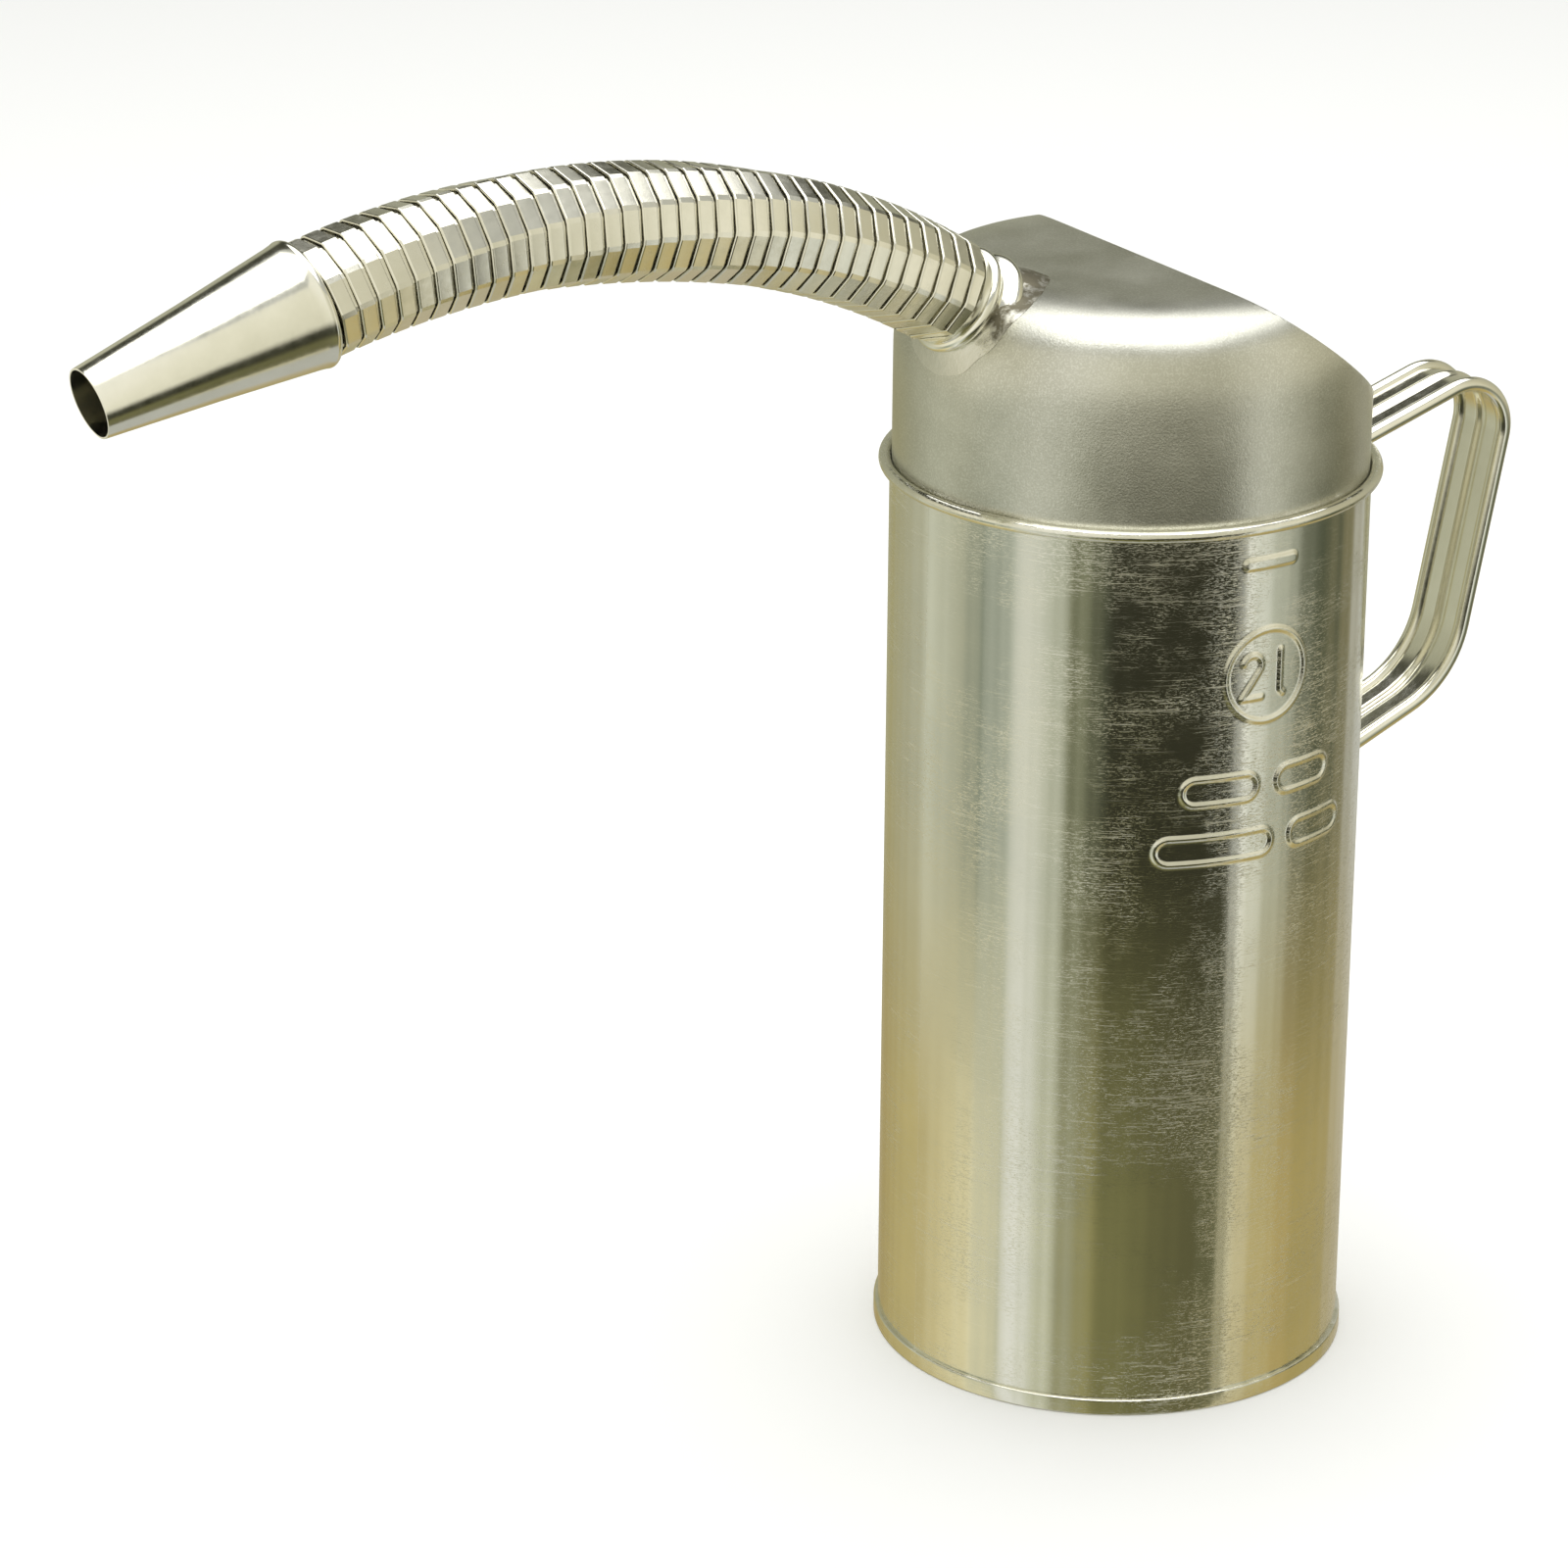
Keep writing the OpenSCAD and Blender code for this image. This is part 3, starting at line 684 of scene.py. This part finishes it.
def nozzle(place):
    """A plain cone with a rounded lip, and a thin open tip."""
    lip = arc((0.8, NOZZLE_LARGE - 1.15), 1.4, 215, 60, 14)
    outer = [(3.2, NOZZLE_LARGE - 0.25), (NOZZLE_LENGTH / 2, (NOZZLE_LARGE + NOZZLE_TIP) / 2 - 0.1)]
    tip = [(NOZZLE_LENGTH - 0.4, NOZZLE_TIP + 0.08), (NOZZLE_LENGTH - 0.1, NOZZLE_TIP + 0.02)]
    tip += [(NOZZLE_LENGTH, NOZZLE_TIP - 0.2), (NOZZLE_LENGTH - 0.1, NOZZLE_TIP - 0.42)]
    inner = [(3.0, NOZZLE_LARGE - 0.8), (1.2, NOZZLE_EDGE), (-0.3, NOZZLE_EDGE), (-0.4, NOZZLE_EDGE + 1.2)]
    piece = lathe("nozzle_cone", lip + outer + tip + inner, TUBE_STEPS, place, sharp_degrees=50)
    piece.data.materials.append(STRIP)
    return ride_on(piece, LAST_BODY, "tinplate", "nozzle")


# How far back the neck's beads and its inner end lie from the hose's start
OUTER_BEAD_AT = -4.2
INNER_BEAD_AT = -10.2
NECK_BACK = -21.0


def spout_neck(place):
    """The neck tube with its two rolled beads."""
    waist, bore = NECK_RADIUS - 0.1, NECK_RADIUS - SHEET
    inner_bead = arc((INNER_BEAD_AT, NECK_RADIUS + 0.4), 2.0, 168, 12, 14)
    outer_bead = arc((OUTER_BEAD_AT, waist), 1.5, 165, 15, 12)
    profile = [(NECK_BACK, NECK_RADIUS)] + inner_bead + [(-7.0, waist)] + outer_bead
    profile += [(-1.8, NECK_RADIUS + 0.1), (-0.6, NECK_RADIUS + 0.5), (-0.45, bore)]
    profile += [(-1.0, NECK_RADIUS - 0.45), (NECK_BACK, bore)]
    piece = lathe("neck", profile, TUBE_STEPS, place, sharp_degrees=50)
    piece.data.materials.append(STRIP)
    return ride_on(piece, "can", "tinplate", "spout_neck")


# Where the neck's inner bead starts, so how high the solder may climb.
BEAD_FOOT = -12.0
# How far the solder runs out over the cover and climbs the neck, each more or less by its share
# of noise, and the least that it climbs where the bead is close
SPREAD, SPREAD_NOISE = 5.8, 1.2
CLIMB, CLIMB_NOISE = 6.5, 0.8
LEAST_CLIMB = 1.2
# The fillet's middle control point, as shares of the climb: up the neck, and out from it
KNEE_UP, KNEE_OUT = 0.55, 0.42
SOLDER_STEPS = 144
SOLDER_RINGS = 12
# Where along the neck its foot on the cover is looked for, and the rounds of halving
FOOT_SEARCH = (-45.0, 4.0)
FOOT_ROUNDS = 40
SPREAD_ROUNDS = 30


def over_cover(point):
    """How far a point is past the cover's outer surface: positive outside, negative inside."""
    out = max(math.hypot(point.x, point.y) - (COVER_RADIUS - SHOULDER), 0) / SHOULDER
    up = max(point.z - (COVER_TOP - SHOULDER_HEIGHT), 0) / SHOULDER_HEIGHT
    power = shoulder_power(point.x, point.y)
    return (out ** power + up ** power) ** (1 / power) - 1


def foot_on_cover(place, angle, radius):
    """Where a line beside the neck's axis, at that angle and radius, meets the cover."""
    across, upper = radius * math.cos(angle), radius * math.sin(angle)
    low, high = FOOT_SEARCH
    for _ in range(FOOT_ROUNDS):
        middle = (low + high) / 2
        inside = over_cover(place @ Vector((middle, across, upper))) < 0
        low, high = (middle, high) if inside else (low, middle)
    return place @ Vector((low, across, upper))


def spread_point(place, angle, spread):
    """The point on the cover that is the solder's spread away from the neck's foot."""
    foot = foot_on_cover(place, angle, NECK_RADIUS)
    low, high = NECK_RADIUS, NECK_RADIUS + spread
    for _ in range(SPREAD_ROUNDS):
        middle = (low + high) / 2
        near = (foot_on_cover(place, angle, middle) - foot).length < spread
        low, high = (middle, high) if near else (low, middle)
    return foot_on_cover(place, angle, low)


def neck_solder(place):
    """A hollow fillet of solder from the neck down to the cover, uneven round the edge."""
    axis = (place.to_3x3() @ Vector((1, 0, 0))).normalized()
    points = []
    for k in range(SOLDER_STEPS):
        a = TAU * k / SOLDER_STEPS
        beside = noise.noise(Vector((2.2 * math.cos(a), 2.2 * math.sin(a), 3.1)))
        above = noise.noise(Vector((3 * math.cos(a), 3 * math.sin(a), 7.7)))
        foot = foot_on_cover(place, a, NECK_RADIUS)
        outer = spread_point(place, a, SPREAD + SPREAD_NOISE * beside)
        radial = place.to_3x3() @ Vector((0, math.cos(a), math.sin(a)))
        room = BEAD_FOOT - (foot - place.translation).dot(axis)
        climb = min(CLIMB + CLIMB_NOISE * above, max(room, LEAST_CLIMB))
        top = foot + climb * axis + 0.12 * radial
        knee = foot + KNEE_UP * climb * axis + KNEE_OUT * climb * radial
        lift = (axis + radial).normalized()
        for j in range(SOLDER_RINGS + 1):
            t = j / SOLDER_RINGS
            points.append((1 - t) ** 2 * top + 2 * t * (1 - t) * knee + t * t * outer + 0.1 * t * lift)
        # the hidden underside, sunk a little into the cover and the neck
        points += [outer - 0.5 * lift, foot - 0.8 * lift - 0.4 * radial, top - 0.5 * radial]
    faces = ring_faces(SOLDER_STEPS, SOLDER_RINGS + 4, wrap_rows=True)
    piece = new_piece("solder", points, faces, 60)
    piece.data.materials.append(SOLDER)
    return ride_on(piece, "can", "solder", "neck_solder")


# ---- handle ----

# The middle rib: half its mesh's width, half its own width, and its height
RIB_REACH = 2.4
RIB_HALF = 2.2
RIB_HEIGHT = 0.95


def strap_section():
    """The strap across its width: a curled edge each side and a rounded middle rib."""
    edge = HANDLE_WIDTH / 2 - HANDLE_ROLL
    join = 180 - math.degrees(math.asin(HANDLE_SHEET / 2 / HANDLE_ROLL))
    upper = HANDLE_SHEET / 2 - HANDLE_ROLL
    lower = upper - HANDLE_SHEET
    spots = np.linspace(-RIB_REACH, RIB_REACH, 15)
    rib = RIB_HEIGHT * (0.5 + 0.5 * np.cos(np.clip(np.abs(spots) / RIB_HALF, 0, 1) * math.pi))
    top = [(x, upper + h) for x, h in zip(spots, rib)]
    back = [(x, lower + h) for x, h in zip(spots[::-1], rib[::-1])]
    right = arc((edge, -HANDLE_ROLL), HANDLE_ROLL, join, -join, 18)
    left = arc((-edge, -HANDLE_ROLL), HANDLE_ROLL, join - 180, -180 - join, 18)
    return top + right + back + left


def strap_path():
    """The strap's outer line in the XZ plane, as (x, z, heading) stops."""
    turn_one = TOP_SLOPE + math.pi / 2 + GRIP_LEAN
    turn_two = math.pi / 2 - LOWER_SLOPE - GRIP_LEAN
    headings = [TOP_SLOPE, TOP_SLOPE - turn_one, TOP_SLOPE - turn_one - turn_two]
    ways = [Vector((math.cos(h), math.sin(h))) for h in headings]
    first = Vector(TOP_CORNER)
    second = first + GRIP_LENGTH * ways[1]
    start = first - ways[0] * (first.x - INNER_RADIUS) / ways[0].x
    end = second + ways[2] * (INNER_RADIUS - second.x) / ways[2].x
    stops = []

    def run(a, b, heading, count):
        for k in range(count + 1):
            p = a.lerp(b, k / count)
            stops.append((p.x, p.y, heading))

    def bend(corner, radius, turn, heading, count):
        begin = corner - Vector((math.cos(heading), math.sin(heading))) * radius * math.tan(turn / 2)
        centre = begin + radius * Vector((math.sin(heading), -math.cos(heading)))
        for k in range(1, count):
            h = heading - turn * k / count
            stops.append((centre.x - radius * math.sin(h), centre.y + radius * math.cos(h), h))

    reach_one = TOP_BEND * math.tan(turn_one / 2)
    reach_two = LOWER_BEND * math.tan(turn_two / 2)
    run(start, first - ways[0] * reach_one, headings[0], 4)
    bend(first, TOP_BEND, turn_one, headings[0], 24)
    run(first + ways[1] * reach_one, second - ways[1] * reach_two, headings[1], 8)
    bend(second, LOWER_BEND, turn_two, headings[1], 14)
    run(second + ways[2] * reach_two, end, headings[2], 4)
    return stops


def handle():
    """The strap, swept along its path from the shell's wall and back to it."""
    section = strap_section()
    stops = strap_path()
    points = []
    for x, z, heading in stops:
        out_x, out_z = -math.sin(heading), math.cos(heading)
        points += [(x + u * out_x, v, z + u * out_z) for v, u in section]
    piece = new_piece("strap", points, capped_faces(len(stops), len(section)), 40)
    piece.data.materials.append(STRIP)
    return ride_on(piece, "can", "tinplate", "handle")


def handle_pads():
    """The two plates between strap and shell keep their CAD shape and get the tinplate look."""
    for name in ("handle_pad_upper", "handle_pad_lower"):
        for slot in bpy.data.objects[name].material_slots:
            slot.material = TINPLATE


# ---- stage ----

# The camera's place, from the fit: its distance out from the can's axis and its height
CAMERA_DISTANCE = 24 * BODY_RADIUS
CAMERA_HEIGHT = 11.66 * BODY_RADIUS
CAMERA_AZIMUTH = math.radians(35.5)
LOOK_OFF = math.radians(-3.41)
LOOK_DOWN = math.radians(21.01)
LOOK_ROLL = math.radians(0.45)
FOCAL_PIXELS = 6179.0
PICTURE_WIDTH = 1600
SENSOR = 36.0
CLIP_END = 100
FLOOR_SIZE = 40
WORLD_COLOUR = rgb(0.95, 0.96, 0.90)
WORLD_STRENGTH = 0.5
# What the light panels face
PANEL_AIM = Vector((0, 0, 0.2))


def camera():
    """The photograph's viewing angle, from a fit to the can's rim, foot and sides."""
    azimuth = CAMERA_AZIMUTH + LOOK_OFF
    ahead = math.cos(LOOK_DOWN)
    forward = Vector((math.sin(azimuth) * ahead, math.cos(azimuth) * ahead, -math.sin(LOOK_DOWN)))
    right = Vector((math.cos(azimuth), -math.sin(azimuth), 0))
    up = right.cross(forward)
    level, tilt = math.cos(LOOK_ROLL), math.sin(LOOK_ROLL)
    right, up = level * right + tilt * up, level * up - tilt * right
    data = bpy.data.cameras.new("camera")
    data.sensor_width = SENSOR
    data.lens = FOCAL_PIXELS / PICTURE_WIDTH * SENSOR
    data.clip_end = CLIP_END
    eye = bpy.data.objects.new("camera", data)
    turn = Matrix((right, up, -forward)).transposed().to_4x4()
    turn.translation = Vector((-CAMERA_DISTANCE * math.sin(CAMERA_AZIMUTH),
                               -CAMERA_DISTANCE * math.cos(CAMERA_AZIMUTH), CAMERA_HEIGHT)) * MM
    eye.matrix_world = turn
    bpy.context.scene.collection.objects.link(eye)
    bpy.context.scene.camera = eye


def panel(name, azimuth, elevation, distance, wide, tall, radiance, mirrored=True):
    """A soft box that faces the can. Azimuth 0 is on the -Y side, turning toward +X."""
    a, e = math.radians(azimuth), math.radians(elevation)
    data = bpy.data.lights.new(name, "AREA")
    data.shape = "RECTANGLE"
    data.size, data.size_y = wide, tall
    data.energy = radiance * math.pi * wide * tall
    lamp = bpy.data.objects.new(name, data)
    offset = Vector((math.sin(a) * math.cos(e), -math.cos(a) * math.cos(e), math.sin(e))) * distance
    lamp.location = PANEL_AIM + offset
    lamp.rotation_euler = offset.to_track_quat("Z", "Y").to_euler()
    lamp.visible_glossy = mirrored
    bpy.context.scene.collection.objects.link(lamp)


def surround():
    """A ring of cards that only shows in the metal: it neither lights nor shades anything else."""
    bpy.ops.mesh.primitive_cylinder_add(vertices=96, radius=SURROUND_RADIUS, depth=SURROUND_HEIGHT,
                                        end_fill_type="NOTHING", location=(0, 0, 0))
    ring = bpy.context.object
    ring.name = "surround"
    ring.data.materials.append(surround_material())
    ring.visible_camera = False
    ring.visible_diffuse = False
    ring.visible_shadow = False
    ring.visible_transmission = False


def stage():
    """The pale floor, the surround, the world and two soft boxes overhead."""
    bpy.ops.mesh.primitive_plane_add(size=FLOOR_SIZE, location=(0, 0, 0))
    floor = bpy.context.object
    floor.name = "floor"
    floor.data.materials.append(floor_material())
    floor.visible_glossy = False
    surround()

    world = bpy.data.worlds.new("studio")
    world.use_nodes = True
    background = world.node_tree.nodes["Background"]
    background.inputs["Color"].default_value = WORLD_COLOUR
    background.inputs["Strength"].default_value = WORLD_STRENGTH
    bpy.context.scene.world = world
    bpy.context.scene.view_settings.view_transform = "Standard"

    panel("overhead", azimuth=144, elevation=84, distance=1.5, wide=1.9, tall=2.3, radiance=1.7)
    panel("floor wash", azimuth=0, elevation=89, distance=2.4, wide=3.0, tall=3.0, radiance=0.9,
          mirrored=False)


camera()
body_shell()
bottom_disc()
half_cover()
windings = turn_frames()
hose(windings)
nozzle(windings[-1])
neck = spout_frame(HOSE_START, NECK_SLOPE)
spout_neck(neck)
neck_solder(neck)
handle()
handle_pads()
stage()
